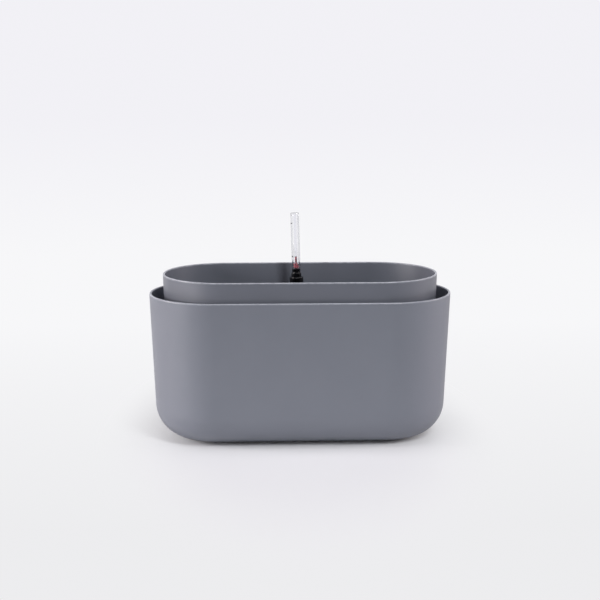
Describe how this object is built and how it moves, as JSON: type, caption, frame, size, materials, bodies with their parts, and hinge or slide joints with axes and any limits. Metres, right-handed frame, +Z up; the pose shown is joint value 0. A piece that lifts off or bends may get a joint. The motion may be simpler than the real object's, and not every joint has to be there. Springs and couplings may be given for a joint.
{
  "type": "self-watering pot",
  "caption": "Oblong self-watering plant pot: outer water pot, taller soil liner on posts, drop-in wick cups, and a float gauge whose red tip shows in a clear tube.",
  "frame": {"origin": "on the table, under the middle of the outer pot's base", "axes": "+Z up; +X along the pot to the right; -Y is the front, +Y the back, where the gauge stands"},
  "size_m": [0.28, 0.125, 0.2047],
  "materials": {
    "pot_plastic": "fine matt",
    "liner_plastic": "fine matt",
    "black_plastic": "satin",
    "clear_plastic": "clear",
    "red_plastic": "gloss",
    "white_foam": "fine closed foam"
  },
  "bodies": {
    "outer_pot": {"outer_pot": "pot_plastic"},
    "liner": {"inner_pot": "liner_plastic"},
    "left_cup": {"left_wick_cup": "black_plastic"},
    "right_cup": {"right_wick_cup": "black_plastic"},
    "gauge": {"gauge_shaft": "black_plastic", "strainer_cap": "black_plastic", "gauge_collar": "black_plastic", "sight_tube": "clear_plastic"},
    "float": {"float": "white_foam", "indicator_rod": "red_plastic"}
  },
  "joints": [
    {"name": "liner_lift", "type": "slide", "parent": "outer_pot", "child": "liner", "axis": [0, 0, 1], "range_m": [0, 0.15]},
    {"name": "left_cup_lift", "type": "slide", "parent": "liner", "child": "left_cup", "axis": [0, 0, 1], "range_m": [0, 0.155]},
    {"name": "right_cup_lift", "type": "slide", "parent": "liner", "child": "right_cup", "axis": [0, 0, 1], "range_m": [0, 0.155]},
    {"name": "gauge_lift", "type": "slide", "parent": "liner", "child": "gauge", "axis": [-0.0279, 0, 0.9996], "range_m": [0, 0.15]},
    {"name": "float_rise", "type": "slide", "parent": "gauge", "child": "float", "axis": [-0.0279, 0, 0.9996], "range_m": [0, 0.032]}
  ]
}
